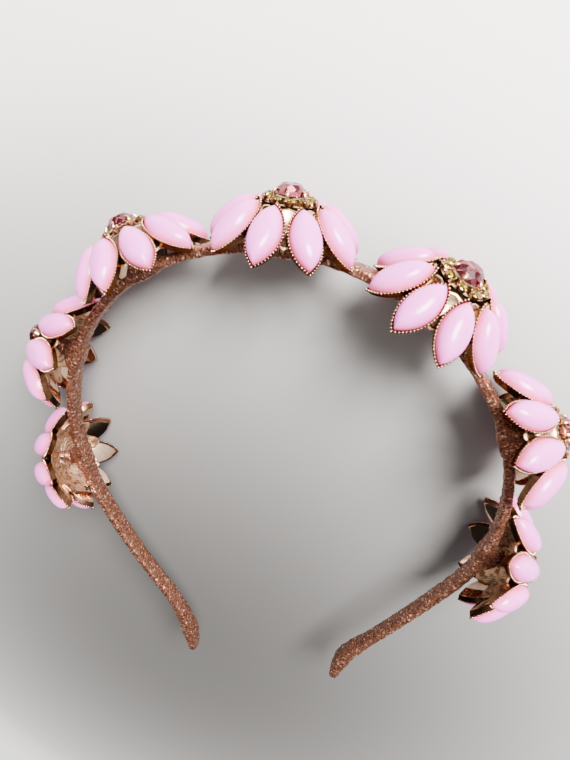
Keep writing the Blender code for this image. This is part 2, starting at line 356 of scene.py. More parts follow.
# the mix node's sockets 0, 6 and 7 are the share and the two colours, its output 2 the mixed colour
def addMix(tree, share, first, second, blend="MIX"):
    blendNode = addNode(tree, "ShaderNodeMix", data_type="RGBA", blend_type=blend)
    for socket, value in ((blendNode.inputs[0], share), (blendNode.inputs[6], first),
                          (blendNode.inputs[7], second)):
        if isinstance(value, bpy.types.NodeSocket):
            tree.links.new(value, socket)
        else:
            socket.default_value = value
    return blendNode.outputs[2]


# the surface's normal, leaned by a cell's random colour
def leanNormals(tree, cellColour, amount):
    lean = addNode(tree, "ShaderNodeVectorMath", operation="SUBTRACT")
    lean.inputs[1].default_value = (0.5, 0.5, 0.5)
    tree.links.new(cellColour, lean.inputs[0])
    tilt = addNode(tree, "ShaderNodeVectorMath", operation="MULTIPLY_ADD")
    tilt.inputs[1].default_value = (amount,) * 3
    tree.links.new(lean.outputs[0], tilt.inputs[0])
    tree.links.new(addNode(tree, "ShaderNodeNewGeometry").outputs["Normal"], tilt.inputs[2])
    facing = addNode(tree, "ShaderNodeVectorMath", operation="NORMALIZE")
    tree.links.new(tilt.outputs[0], facing.inputs[0])
    return facing.outputs[0]


stoneSettings = {
    "middle": colour(0.72, 0.155, 0.58),
    "shoulder": colour(0.71, 0.135, 0.46),
    # the very rim: painted light of the gold cup showing through the stone
    "rim": colour(0.60, 0.09, 0.16),
    "cloud": colour(0.76, 0.20, 0.66),
    # share of the way to the rim, then the colour there; the red-orange at the very rim is painted light
    # of the gold cup showing through the stone
    "paintStops": ((0.0, "middle"), (0.72, "middle"), (0.93, "shoulder"), (1.0, "rim")),
    "cloudScale": 260,
    "cloudStops": ((0.42, grey(0)), (0.75, grey(0.3))),
    "roughness": 0.25,
    "ior": 1.5,
    "glow": 0.25,
    "glowReach": (1.0, 0.5, 0.6),
    "glowDepth": 0.0012,  # m
    "waveScale": 420,
    "waveStrength": 0.12,
    "waveDepth": 0.0004,  # m
}


# moulded petal stones: pale lilac pink, deeper towards the rim, with painted red-orange light of the gold
# cup at the very rim
def makePinkStone(s):
    material, shader, tree = newMaterial("lilacPetalStone")
    place = addNode(tree, "ShaderNodeTexCoord").outputs["Object"]
    toRim = addNode(tree, "ShaderNodeAttribute", attribute_name="toRim").outputs["Fac"]
    base = addRamp(tree, toRim, [(stop, s[name]) for stop, name in s["paintStops"]])
    cloud = addRamp(tree, addNoise(tree, place, s["cloudScale"], 2), s["cloudStops"])
    tree.links.new(addMix(tree, cloud, base, s["cloud"]), shader.inputs["Base Color"])
    shader.inputs["Roughness"].default_value = s["roughness"]
    shader.inputs["IOR"].default_value = s["ior"]
    shader.inputs["Subsurface Weight"].default_value = s["glow"]
    shader.inputs["Subsurface Radius"].default_value = s["glowReach"]
    shader.inputs["Subsurface Scale"].default_value = s["glowDepth"]
    waves = addNoise(tree, place, s["waveScale"], 1)
    normal = addBump(tree, waves, s["waveStrength"], s["waveDepth"])
    tree.links.new(normal, shader.inputs["Normal"])
    return material


# finishes, after what they share; depth is the grain's, in m
goldSettings = {
    "wearScale": 900,
    "wearStops": ((0.40, grey(0)), (0.78, grey(0.7))),
    "grainScale": 1500,
    "polished": {"base": colour(0.85, 0.50, 0.33), "dull": colour(0.45, 0.22, 0.12),
                 "roughness": 0.18, "grain": 0.10, "depth": 0.00012},
    "cluster": {"base": colour(0.50, 0.34, 0.20), "dull": colour(0.12, 0.065, 0.03),
                "roughness": 0.22, "grain": 0.10, "depth": 0.00012},
    "mirror": {"base": colour(0.85, 0.58, 0.42), "dull": colour(0.60, 0.36, 0.24),
               "roughness": 0.08, "grain": 0.04, "depth": 0.00010},
    "tooth": {"base": colour(0.84, 0.46, 0.31), "dull": colour(0.36, 0.17, 0.10),
              "roughness": 0.20, "grain": 0.10, "depth": 0.00012},
    # the cup's side: a darker copy of the gold with dark edges, painted shade
    "side": {"base": colour(0.20, 0.10, 0.055), "dull": colour(0.08, 0.035, 0.02),
             "roughness": 0.24, "grain": 0.10, "depth": 0.00012, "edge": colour(0.35, 0.20, 0.13)},
    "cast": {"base": colour(0.84, 0.54, 0.34), "dull": colour(0.20, 0.09, 0.045),
             "roughness": 0.48, "grain": 0.6, "depth": 0.00035},
    # the cup's rim top and floor and the dish's face towards the petals: a nearly black copy of the gold,
    # painted shade between the teeth and in the hollows
    "hollow": {"base": colour(0.026, 0.012, 0.006), "dull": colour(0.012, 0.006, 0.003),
               "edge": colour(0.08, 0.04, 0.02), "roughness": 0.5, "grain": 0.5, "depth": 0.00030},
}


def makeGold(name, s):
    material, shader, tree = newMaterial(name)
    place = addNode(tree, "ShaderNodeTexCoord").outputs["Object"]
    wear = addNoise(tree, place, goldSettings["wearScale"], 3)
    worn = addRamp(tree, wear, goldSettings["wearStops"])
    # the dull colour goes where the noise is worn, which is real wear, and where the attribute for the
    # grooves asks, which is painted shade in the cast dish's grooves
    share = addNode(tree, "ShaderNodeMath", operation="MAXIMUM")
    tree.links.new(worn, share.inputs[0])
    groove = addNode(tree, "ShaderNodeAttribute", attribute_name="groove")
    tree.links.new(groove.outputs["Fac"], share.inputs[1])
    tree.links.new(addMix(tree, share.outputs[0], s["base"], s["dull"]), shader.inputs["Base Color"])
    shader.inputs["Metallic"].default_value = 1
    shader.inputs["Specular Tint"].default_value = s.get("edge", grey(1))
    shader.inputs["Roughness"].default_value = s["roughness"]
    grain = addNoise(tree, place, goldSettings["grainScale"], 2)
    normal = addBump(tree, grain, s["grain"], s["depth"])
    tree.links.new(normal, shader.inputs["Normal"])
    return material


crystalSettings = {
    "yellow": {"tint": colour(0.25, 0.165, 0.0), "deep": colour(0.08, 0.05, 0.0), "cells": 1500},
    "rose": {"tint": colour(0.28, 0.055, 0.07), "deep": colour(0.05, 0.007, 0.01), "cells": 750},
    "deepStops": ((0.2, grey(0)), (0.9, grey(1))),
    "lean": 0.9,
    "metallic": 0.9,
    "roughness": 0.15,
    "gloss": 0.06,
    "glossRoughness": 0.03,
    "glossIor": 1.6,
}


# foil-backed cut crystal: leaning tinted mirrors under a clear gloss
def makeCrystal(name, s):
    shared = crystalSettings
    material, shader, tree = newMaterial(name)
    place = addNode(tree, "ShaderNodeTexCoord").outputs["Object"]
    flecks = addNode(tree, "ShaderNodeTexVoronoi")
    flecks.inputs["Scale"].default_value = s["cells"]
    tree.links.new(place, flecks.inputs["Vector"])
    spread = addNode(tree, "ShaderNodeSeparateColor")
    tree.links.new(flecks.outputs["Color"], spread.inputs["Color"])
    share = addRamp(tree, spread.outputs["Red"], shared["deepStops"])
    tree.links.new(addMix(tree, share, s["tint"], s["deep"]), shader.inputs["Base Color"])
    normal = leanNormals(tree, flecks.outputs["Color"], shared["lean"])
    tree.links.new(normal, shader.inputs["Normal"])
    shader.inputs["Metallic"].default_value = shared["metallic"]
    shader.inputs["Roughness"].default_value = shared["roughness"]
    shader.inputs["Coat Weight"].default_value = shared["gloss"]
    shader.inputs["Coat Roughness"].default_value = shared["glossRoughness"]
    shader.inputs["Coat IOR"].default_value = shared["glossIor"]
    return material


ribbonSettings = {
    "spark": colour(0.82, 0.51, 0.38),
    "light": colour(0.33, 0.145, 0.088),
    "middle": colour(0.215, 0.082, 0.050),
    "dark": colour(0.09, 0.030, 0.018),
    # a cell's random number, then its colour or its roughness
    "paintStops": ((0.0, "dark"), (0.30, "middle"), (0.89, "light"), (0.99, "spark")),
    "shineStops": ((0.1, grey(0.55)), (0.9, grey(0.22))),
    # distance from a cell's middle, then what darkens it
    "gapStops": ((0.45, grey(1)), (0.80, colour(0.45, 0.36, 0.32))),
    "cells": (2.9, 1.7, 1.7),  # per mm along, up and out
    "randomness": 0.75,
    "lean": 0.5,
    "metallic": 0.8,
}


# woven ribbon of fine copper foil cells, each leaning a little its own way
def makeRibbon(s):
    material, shader, tree = newMaterial("copperGlitterRibbon")
    place = addNode(tree, "ShaderNodeAttribute", attribute_name="wrap").outputs["Vector"]
    fit = addNode(tree, "ShaderNodeVectorMath", operation="MULTIPLY")
    fit.inputs[1].default_value = s["cells"]
    tree.links.new(place, fit.inputs[0])
    cells = addNode(tree, "ShaderNodeTexVoronoi")
    cells.inputs["Scale"].default_value = 1
    cells.inputs["Randomness"].default_value = s["randomness"]
    tree.links.new(fit.outputs[0], cells.inputs["Vector"])
    spread = addNode(tree, "ShaderNodeSeparateColor")
    tree.links.new(cells.outputs["Color"], spread.inputs["Color"])
    paint = addRamp(tree, spread.outputs["Red"], [(stop, s[name]) for stop, name in s["paintStops"]])
    gaps = addRamp(tree, cells.outputs["Distance"], s["gapStops"])
    tree.links.new(addMix(tree, 1.0, paint, gaps, "MULTIPLY"), shader.inputs["Base Color"])
    shine = addRamp(tree, spread.outputs["Green"], s["shineStops"])
    tree.links.new(shine, shader.inputs["Roughness"])
    shader.inputs["Metallic"].default_value = s["metallic"]
    tree.links.new(leanNormals(tree, cells.outputs["Color"], s["lean"]), shader.inputs["Normal"])
    return material


pinkStone = makePinkStone(stoneSettings)
polishedGold = makeGold("polishedGold", goldSettings["polished"])
mirrorGold = makeGold("mirrorGold", goldSettings["mirror"])
castGold = makeGold("castGold", goldSettings["cast"])
clusterGold = makeGold("clusterGold", goldSettings["cluster"])
sideGold = makeGold("sideGold", goldSettings["side"])
toothGold = makeGold("toothGold", goldSettings["tooth"])
hollowGold = makeGold("hollowGold", goldSettings["hollow"])
yellowCrystal = makeCrystal("yellowCrystal", crystalSettings["yellow"])
roseCrystal = makeCrystal("roseCrystal", crystalSettings["rose"])
copperRibbon = makeRibbon(ribbonSettings)
print("materials made")

# one flower, in its own frame: Z out of the band, X towards the first petal

petalSettings = {
    "count": 9,
    "length": 15.7,
    "width": 7.8,
    "innerRadius": 6.95,
    "innerHeight": 10.4,
    "slope": 47.0,
    "outlinePoints": 48,
    "stoneShare": 0.89,
    "stoneFoot": (0.98, -0.9),  # share of the stone's outline, height
    "domeHeight": 3.45,
    "domeSink": 0.05,
    "domeRings": 12,
    "domePowers": (0.82, 0.92),  # how it narrows and how it rises
    "domeRounding": 1.5,  # how soon the rings turn into ellipses
    # share of the outline and height, from the cup's back over its rim to the floor under the stone
    "cupLevels": ((0.80, -1.70), (0.855, -1.66), (0.885, -1.50), (0.985, -0.12), (1.0, 0.0),
                  (0.995, 0.08), (0.935, 0.08), (0.915, 0.0), (0.91, -0.7)),
    # heights above which a face of the cup is its side, its floor and its rim
    "sideFrom": -1.6,
    "floorFrom": -1.0,
    "rimFrom": -0.08,
    "teeth": 46,
    "toothRow": 0.968,  # where the row runs, as a share of the outline
    "toothSize": (0.74, 0.74, 0.35),
    "toothSegments": 6,
    "toothRings": 4,
}


def petalMatrix(s):
    slope = math.radians(s["slope"])
    along = Vector((math.cos(slope), 0, -math.sin(slope)))
    normal = Vector((math.sin(slope), 0, math.cos(slope)))
    innerTip = Vector((s["innerRadius"], 0, s["innerHeight"]))
    middle = (innerTip + along * s["length"] / 2) * mm
    turn = Matrix((along, Vector((0, 1, 0)), normal)).transposed().to_4x4()
    return Matrix.Translation(middle) @ turn


# pointed oval of two arcs; roundness 1 turns it into an ellipse
def petalOutline(s, share, height, roundness=0.0):
    halfLength, halfWidth = s["length"] / 2, s["width"] / 2
    radius = (halfLength ** 2 + halfWidth ** 2) / (2 * halfWidth)
    halfAngle = math.asin(halfLength / radius)
    points = []
    perSide = s["outlinePoints"] // 2
    for side in (1, -1):
        for i in range(perSide):
            t = 1 - 2 * i / perSide
            arc = (radius * math.sin(halfAngle * t), radius * math.cos(halfAngle * t) - radius + halfWidth)
            turn = math.pi / 2 * t
            oval = (halfLength * math.sin(turn), halfWidth * math.cos(turn))
            x, y = (mix(a, b, roundness) * share * side for a, b in zip(arc, oval))
            points.append(Vector((x, y, height)) * mm)
    return points


def makePetalStone(s):
    work = bmesh.new()
    toRim = work.verts.layers.float.new("toRim")
    footShare, footHeight = s["stoneFoot"]
    narrowing, rise = s["domePowers"]
    rings = [petalOutline(s, s["stoneShare"] * footShare, footHeight)]
    shares = [1.0]
    for i in range(s["domeRings"]):
        t = i / s["domeRings"]
        share = math.cos(t * math.pi / 2) ** narrowing
        height = s["domeHeight"] * math.sin(t * math.pi / 2) ** rise - s["domeSink"]
        roundness = min(1.0, s["domeRounding"] * t)
        rings.append(petalOutline(s, s["stoneShare"] * share, height, roundness))
        shares.append(share)
    apex = Vector((0, 0, s["domeHeight"] - s["domeSink"])) * mm
    rows = skin(work, rings, "flat", apex)
    for row, share in zip(rows, shares):
        for vertex in row:
            vertex[toRim] = share
    mesh = fromBmesh("petalStone", work, 50)
    mesh.transform(petalMatrix(s))
    return mesh


# materials: 0 for the cup's bright back, 1 for its side, a darker copy of the gold that is painted shade,
# 2 for its rim and floor, a nearly black copy of the gold that is painted shade
def makePetalCup(s):
    work = bmesh.new()
    skin(work, [petalOutline(s, share, height) for share, height in s["cupLevels"]])
    for face in work.faces:
        height = face.calc_center_median().z / mm
        isFloor = len(face.verts) > 4 and height > s["floorFrom"]
        if height > s["rimFrom"] or isFloor:
            face.material_index = 2
        elif height > s["sideFrom"]:
            face.material_index = 1
    mesh = fromBmesh("petalCup", work, 38)
    mesh.transform(petalMatrix(s))
    return mesh


# the toothed edge that holds the stone, as a bead row along the rim
def makeRimTeeth(s):
    work = bmesh.new()
    ring = [work.verts.new(point) for point in petalOutline(s, s["toothRow"], 0.0)]
    for i in range(len(ring)):
        work.edges.new((ring[i], ring[(i + 1) % len(ring)]))
    mesh = bpy.data.meshes.new("rimPath")
    work.to_mesh(mesh)
    work.free()
    mesh.transform(petalMatrix(s))
    piece = newPiece("rimPath", mesh)
    useTree(piece, beadRow, beads=s["teeth"], beadSize=[size * mm for size in s["toothSize"]],
            segments=s["toothSegments"], rings=s["toothRings"], material=toothGold)
    return settle(piece)


# even copies of a mesh about the flower's axis; further materials go on the faces that ask for them
def turned(name, mesh, count, material, firstAngle=0.0, others=()):
    piece = newPiece(name, mesh)
    asked = [face.material_index for face in mesh.polygons]
    useTree(piece, turnedCopies, count=count, firstAngle=firstAngle, material=material)
    made = settle(piece)
    made.name = name
    if others:
        made.materials.clear()
        for paint in (material, *others):
            made.materials.append(paint)
        made.polygons.foreach_set("material_index", asked * count)
    return made


petalCount = petalSettings["count"]
betweenPetals = math.pi / petalCount

petalStones = turned("petalStones", makePetalStone(petalSettings), petalCount, pinkStone)
petalCups = turned("petalCups", makePetalCup(petalSettings), petalCount, mirrorGold,
                   others=[sideGold, hollowGold])
rimTeeth = turned("rimTeeth", makeRimTeeth(petalSettings), petalCount, toothGold)

# rough cast dish behind the petals, with a lobe between each two of them

dishSettings = {
    "steps": 180,
    "behindPetals": 1.3,
    "thickness": 1.15,
    "edge": 10.9,
    "lobe": 1.1,
    "middleRadii": (1.4, 2.0, 2.6, 3.2, 3.8, 4.4, 5.0, 5.6, 6.1),
    "middleHeight": 8.45,
    "backStart": 6.4,
    "backShares": (0.1, 0.2, 0.3, 0.4, 0.5, 0.6, 0.7, 0.8, 0.93),  # of the way to the edge
    "edgeSteps": ((0.0, 0.35), (0.05, 0.75), (0.35, 1.0)),  # inset, share of the thickness
    "frontStart": 6.7,
    "frontShares": (0.7, 0.4, 0.1),
    "frontHole": (6.3, 9.15),  # radius, height
    "relief": 0.34,
    "roughShares": (1.0, 1.3, 0.5),  # of the relief, on the middle, the back and the edge
    "swirl": (1.0, 20 / 3, 0.28),  # change per mm outwards, reach around, twist per mm
    "swirlScale": 1.6,
    # painted shade along the relief: the noise values where it starts and where it is full
    "grooveRelief": (-0.05, 0.3),  # where a groove starts and is full
    # how far a face turns towards the petals before it gets the nearly black gold, painted shade
    "facingPetals": 0.2,
}


def rimHeight(s, radius):
    return s["innerHeight"] - (radius - s["innerRadius"]) * math.tan(math.radians(s["slope"]))


def makeCastDish(s, petals):
    drop = s["behindPetals"] / math.cos(math.radians(petals["slope"]))
    work = bmesh.new()
    groove = work.verts.layers.float.new("groove")
    grooveShades = []
    angles = [math.tau * i / s["steps"] for i in range(s["steps"])]

    def point(radius, height, angle, rough):
        x, y = radius * math.cos(angle), radius * math.sin(angle)
        change, reach, twist = s["swirl"]
        around = angle + twist * radius
        sample = Vector((reach * math.cos(around), reach * math.sin(around), radius * change))
        bump = noise.noise(sample * s["swirlScale"])
        # each point's painted shade, by the relief's noise
        grooveShades.append(smoothStep(*s["grooveRelief"], bump) * min(1.0, rough))
        return Vector((x, y, height + bump * s["relief"] * rough)) * mm

    def flatRing(radius, height, rough):
        return [point(radius, height, angle, rough) for angle in angles]

    # a ring behind the petals: share of the way to the lobed edge, inset, share of the thickness
    def slopeRing(start, share, inset, lift, rough):
        ring = []
        for angle in angles:
            edge = s["edge"] - s["lobe"] * math.cos(petals["count"] * angle)
            radius = mix(start, edge, share) - inset
            height = rimHeight(petals, radius) - drop - s["thickness"] * (1 - lift)
            ring.append(point(radius, height, angle, rough))
        return ring

    roughMiddle, roughBack, roughEdge = s["roughShares"]
    rings = [flatRing(radius, s["middleHeight"], roughMiddle) for radius in s["middleRadii"]]
    rings += [slopeRing(s["backStart"], share, 0, 0, roughBack) for share in s["backShares"]]
    rings += [slopeRing(s["backStart"], 1, inset, lift, roughEdge) for inset, lift in s["edgeSteps"]]
    rings += [slopeRing(s["frontStart"], share, 0, 1, roughEdge) for share in s["frontShares"]]
    rings.append(flatRing(*s["frontHole"], 0))
    rows = skin(work, rings)
    for vertex, value in zip((vertex for row in rows for vertex in row), grooveShades):
        vertex[groove] = value
    bmesh.ops.recalc_face_normals(work, faces=work.faces)
    # faces turned towards the petals get the nearly black gold, painted shade between the petals
    for face in work.faces:
        face.material_index = 1 if face.normal.z > s["facingPetals"] else 0
    return fromBmesh("castDish", work, 60)


castDish = makeCastDish(dishSettings, petalSettings)
castDish.materials.append(castGold)
castDish.materials.append(hollowGold)

# small hollow webs between the petals' inner ends

webSettings = {
    "inner": 7.0,
    "outer": 10.6,
    "halfWidth": 1.75,
    "halfTip": 0.25,
    "bow": 0.35,  # of its inner end
    "belowRim": 0.75,
    "middleShare": 0.36,  # of the way outwards, the place that the levels shrink to
    # shrinking and depth, from the foot over the rim to the hollow's floor
    "levels": ((0.0, 1.5), (0.0, 0.12), (0.08, 0.0), (0.22, 0.0), (0.30, 0.14), (0.42, 0.9)),
}


def makeGapWeb(s, petals):
    middle = mix(s["inner"], s["outer"], s["middleShare"])
    corners = ((s["inner"], -s["halfWidth"]), (s["outer"], -s["halfTip"]), (s["outer"], s["halfTip"]),
               (s["inner"], s["halfWidth"]), (s["inner"] - s["bow"], 0.0))
    rings = []
    for shrink, depth in s["levels"]:
        ring = []
        for cornerX, cornerY in corners:
            x, y = mix(cornerX, middle, shrink), mix(cornerY, 0.0, shrink)
            ring.append(Vector((x, y, rimHeight(petals, x) - s["belowRim"] - depth)) * mm)
        rings.append(ring)
    work = bmesh.new()
    skin(work, rings)
    return fromBmesh("gapWeb", work, 45)


gapWebs = turned("gapWebs", makeGapWeb(webSettings, petalSettings), petalCount, clusterGold,
                 betweenPetals)

# ring of nine small cut stones, each in a cup with four bead claws

smallSettings = {
    "ring": 5.1,
    "stone": 1.24,
    "girdle": 11.0,
    "girdleThick": 0.15,
    "table": 0.68,
    "tableHeight": 11.62,
    "facets": 8,
    "culetDepth": 0.7,
    "turn": 0.0,
    "cup": 1.38,
    "cupSides": 24,
    "foot": 1.05,
    "footHeight": 9.9,
    "beads": 4,
    "beadInset": 0.17,
    "beadSize": (0.23, 0.23, 0.2185),
    "beadSegments": 10,
    "beadRings": 6,
}
cutSettings = {"kiteDown": 0.4, "kiteOut": 0.55}  # shares of the way from the table to the girdle


# round cut stone: table, star and kite facets, girdle and pavilion
def makeCutStone(name, s, middle=(0.0, 0.0)):
    work = bmesh.new()
    facets, first = s["facets"], math.radians(s["turn"])
    kiteRadius = mix(s["table"], s["stone"], cutSettings["kiteOut"])
    kiteHeight = mix(s["tableHeight"], s["girdle"], cutSettings["kiteDown"])
    lowHeight = s["girdle"] - s["girdleThick"]

    def ring(radius, height, start, sides):
        return [work.verts.new(p) for p in turnedRing(radius, height, sides, first + start, middle)]

    table = ring(s["table"], s["tableHeight"], 0, facets)
    kites = ring(kiteRadius, kiteHeight, math.pi / facets, facets)
    edge = ring(s["stone"], s["girdle"], 0, facets * 2)
    low = ring(s["stone"], lowHeight, 0, facets * 2)
    culet = work.verts.new(Vector((*middle, lowHeight - s["culetDepth"])) * mm)
    work.faces.new(table)
    for i in range(facets):
        j = (i + 1) % facets
        work.faces.new((table[i], kites[i], table[j]))
        work.faces.new((table[j], kites[i], edge[2 * j]))
        work.faces.new((table[i], edge[2 * i], kites[i]))
        work.faces.new((kites[i], edge[2 * i], edge[2 * i + 1]))
        work.faces.new((kites[i], edge[2 * i + 1], edge[2 * j]))
    for i in range(facets * 2):
        j = (i + 1) % (facets * 2)
        work.faces.new((edge[i], low[i], low[j], edge[j]))
        work.faces.new((low[i], culet, low[j]))
    return fromBmesh(name, work)


def makeSmallCup(s):
    work = bmesh.new()
    middle = (s["ring"], 0.0)
    brim = s["girdle"] + 0.02
    levels = ((s["foot"], s["footHeight"]), (s["cup"] - 0.05, brim - 0.15), (s["cup"], brim),
              (s["cup"] - 0.06, brim + 0.07), (s["cup"] - 0.14, brim + 0.05),
              (s["stone"] - 0.02, brim - 0.12), (s["foot"] - 0.2, brim - 0.7))
    skin(work, [turnedRing(radius, height, s["cupSides"], 0, middle) for radius, height in levels])
    size = Matrix.Diagonal((*[radius * mm for radius in s["beadSize"]], 1))
    halfStep = math.pi / s["beads"]
    for place in turnedRing(s["cup"] - s["beadInset"], brim + 0.12, s["beads"], halfStep, middle):
        bmesh.ops.create_uvsphere(work, u_segments=s["beadSegments"], v_segments=s["beadRings"],
                                  radius=1, matrix=Matrix.Translation(place) @ size)
    return fromBmesh("smallCup", work, 50)


smallStone = makeCutStone("smallStone", smallSettings, (smallSettings["ring"], 0.0))
smallStones = turned("smallStones", smallStone, petalCount, yellowCrystal, betweenPetals)
smallCups = turned("smallCups", makeSmallCup(smallSettings), petalCount, clusterGold, betweenPetals)

# seat plate, centre cup and its six claws

centreSettings = {
    "plate": 5.9,
    "plateLow": 9.5,
    "plateHigh": 10.2,
    "neck": 2.95,
    "flare": 3.3,
    "cup": 3.85,
    "brim": 11.4,
    "well": 2.7,
    "sides": 60,
    "stone": 3.72,
    "girdle": 11.95,
    "girdleThick": 0.2,
    "table": 2.05,
    "tableHeight": 14.05,
    "facets": 8,
    "culetDepth": 1.1,
    "turn": 22.5,
    "claws": 6,
    "clawSides": 10,
    "clawWidth": 1.15,  # against its thickness
}


def makeSeat(s):
    work = bmesh.new()
    levels = ((s["plate"] - 0.15, s["plateLow"]), (s["plate"], s["plateLow"] + 0.2),
              (s["plate"], s["plateHigh"] - 0.12), (s["plate"] - 0.15, s["plateHigh"]),
              (s["neck"], s["plateHigh"]), (s["flare"], s["brim"] - 0.5),
              (s["cup"] - 0.03, s["brim"] - 0.08), (s["cup"], s["brim"] + 0.02),
              (s["cup"] - 0.1, s["brim"] + 0.1), (s["cup"] - 0.3, s["brim"] + 0.06),
              (s["well"], s["plateHigh"] + 0.6))
    skin(work, [turnedRing(radius, height, s["sides"]) for radius, height in levels])
    return fromBmesh("seat", work, 40)


# one claw: a tapering rounded bar that bends over the stone's edge
def makeClaw(s):
    # radius, height and half the thickness along the claw
    path = ((s["cup"] - 0.05, s["brim"] - 0.7, 0.32), (s["stone"] + 0.42, s["girdle"] - 0.35, 0.36),
            (s["stone"] + 0.40, s["girdle"] + 0.15, 0.37), (s["stone"] + 0.10, s["girdle"] + 0.60, 0.36),
            (s["stone"] - 0.28, s["girdle"] + 0.90, 0.31), (s["stone"] - 0.52, s["girdle"] + 1.02, 0.17))
    side = Vector((0, 1, 0))
    angles = [math.tau * k / s["clawSides"] for k in range(s["clawSides"])]
    rings = []
    for i, (radius, height, thick) in enumerate(path):
        before, after = path[max(i - 1, 0)], path[min(i + 1, len(path) - 1)]
        way = Vector((after[0] - before[0], 0, after[1] - before[1])).normalized()
        out = side.cross(way)
        middle = Vector((radius, 0, height))
        rings.append([
            (middle + (side * math.cos(a) * s["clawWidth"] + out * math.sin(a)) * thick) * mm
            for a in angles])
    work = bmesh.new()
    skin(work, rings)
    return fromBmesh("claw", work, 60)


seat = makeSeat(centreSettings)
seat.materials.append(clusterGold)
clawCount = centreSettings["claws"]
claws = turned("claws", makeClaw(centreSettings), clawCount, polishedGold, math.pi / clawCount)
centreStone = makeCutStone("centreStone", centreSettings)
centreStone.materials.append(roseCrystal)
print("flower parts made")

# copper ribbon wound round the band, with a mound under every flower

bandSettings = {
    "width": 5.5,
    "thickness": 2.85,
    "inner": 0.7,  # how far the ribbon swells inwards under a mound, mm
    "station": 0.5,
    "around": 40,
    "squareness": 4,  # power of the section's rounded square
    "wrapPitch": 4.3,
    "wrapLean": 0.9,
    "wrapRidge": 0.22,
    "ridgeMiddle": 0.35,  # share of the ridge that lies below the surface
    "weaveSlant": 0.25,
    "relief": 0.10,
    "reliefSize": 0.9,
    "sink": 0.12,  # keeps the ridges near the solid's surface, mm
    "endFade": 1.5,  # no ridges on the last of each end, mm
    "mound": ((0.0, 1.0), (1.8, 1.0), (5.6, 0.0)),
    "moundHeight": 2.4,
    "moundTaper": 0.18,
    # distance from an end in mm, then shares of the band's width and thickness
    "endShape": ((0.0, 0.50, 0.60), (1.2, 0.84, 1.10), (4.0, 0.96, 1.40), (11.0, 1.10, 1.80),
                 (18.0, 1.06, 1.45), (27.0, 1.00, 1.00)),
}


def bandLengths():
    return tuple(sum(length for length, turn in bandPath[side]) for side in ("left", "right"))


def makeRibbonBand(s):
    left, right = bandLengths()
    stations = round((left + right) / s["station"])
    power = s["squareness"]
    work = bmesh.new()
    wrap = work.verts.layers.float_vector.new("wrap")
    rings = []
    wraps = []
    for i in range(stations + 1):
        position = mix(-left, right, i / stations)
        point, outward = bandPoint(position)
        fromEnd = min(position + left, right - position)
        widthShare, thickShare = readTable(s["endShape"], fromEnd)
        nearest = min(flowerPlaces.values(), key=lambda row: abs(position - row[0]))
        swell = readTable(s["mound"], abs(position - nearest[0]))[0]
        halfWidth = s["width"] / 2 * widthShare
        halfThick = s["thickness"] / 2 * thickShare
        outer = halfThick + swell * (s["moundHeight"] + nearest[1])
        inner = halfThick + swell * s["inner"]
        fade = smoothStep(0.0, s["endFade"], fromEnd)
        ring = []
        for k in range(s["around"]):
            angle = math.tau * k / s["around"]
            across, out = math.cos(angle), math.sin(angle)
            square = (abs(across) ** power + abs(out) ** power) ** (-1 / power)
            upward = across * square * halfWidth
            side = out * square * (outer if out > 0 else inner)
            if out > 0:
                upward *= 1 - s["moundTaper"] * swell * out
            turn = (position / s["wrapPitch"] + s["wrapLean"] * (angle / math.tau)) % 1.0
            ridge = s["wrapRidge"] * (turn ** 3 - s["ridgeMiddle"])
            place = point + outward * side * mm + up * upward * mm
            rough = noise.noise(place / (s["reliefSize"] * mm)) * s["relief"]
            away = (outward * side + up * upward).normalized()
            ring.append(place + away * (ridge + rough - s["sink"]) * fade * mm)
            wraps.append((position + s["weaveSlant"] * upward, upward, side))
        rings.append(ring)
    rows = skin(work, rings)
    for vertex, value in zip((vertex for row in rows for vertex in row), wraps):
        vertex[wrap] = value
    return fromBmesh("ribbonBand", work, 60)


band = newPiece("ribbonBand", makeRibbonBand(bandSettings), copperRibbon)
print("band made")

# wound copper thread from the band's mound up to each dish

postSettings = {
    "profile": ((3.7, 2.6), (4.6, 2.1), (6.0, 1.6), (7.4, 1.3), (8.4, 1.3)),
    "coil": 0.55,
    "depth": 0.13,
    "around": 28,
    "rings": 64,
}


def makePost(s):
    work = bmesh.new()
    wrap = work.verts.layers.float_vector.new("wrap")
    low, high = s["profile"][0][0], s["profile"][-1][0]
    rings = []
    for i in range(s["rings"] + 1):
        height = mix(low, high, i / s["rings"])
        radius = readTable(s["profile"], height)[0]
        ring = []
        for k in range(s["around"]):
            angle = math.tau * k / s["around"]
            coil = math.sin(math.tau * height / s["coil"] + angle)
            thick = radius + s["depth"] * coil
            ring.append(Vector((thick * math.cos(angle), thick * math.sin(angle), height)) * mm)
        rings.append(ring)
    for row in skin(work, rings):
        for vertex in row:
            vertex[wrap] = vertex.co / mm
    return fromBmesh("postWrap", work, 60)


postWrap = makePost(postSettings)
postWrap.materials.append(copperRibbon)

# every flower's pieces, placed on the band

flowerParts = {
    "petalStones": petalStones,
    "petalCups": petalCups,
    "rimTeeth": rimTeeth,
    "castDish": castDish,
    "gapWebs": gapWebs,
    "smallStones": smallStones,
    "smallCups": smallCups,
    "seat": seat,
    "claws": claws,
    "centreStone": centreStone,
    "postWrap": postWrap,
}
standsFor = {"petalCups": "petal_setting", "seat": "cluster", "centreStone": "centre_stone"}


def placeFlower(number):
    matrix = flowerMatrix(number)
    for name, mesh in flowerParts.items():
        copy = mesh.copy()
        copy.transform(matrix)
        piece = newPiece(f"{name}_{number}", copy)
        if name in standsFor:
            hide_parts(f"{standsFor[name]}_{number}")
        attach(piece, "root")


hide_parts("band")
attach(band, "root")
for number in flowerPlaces:
    placeFlower(number)
print("flowers placed")

# floor, sky and lights

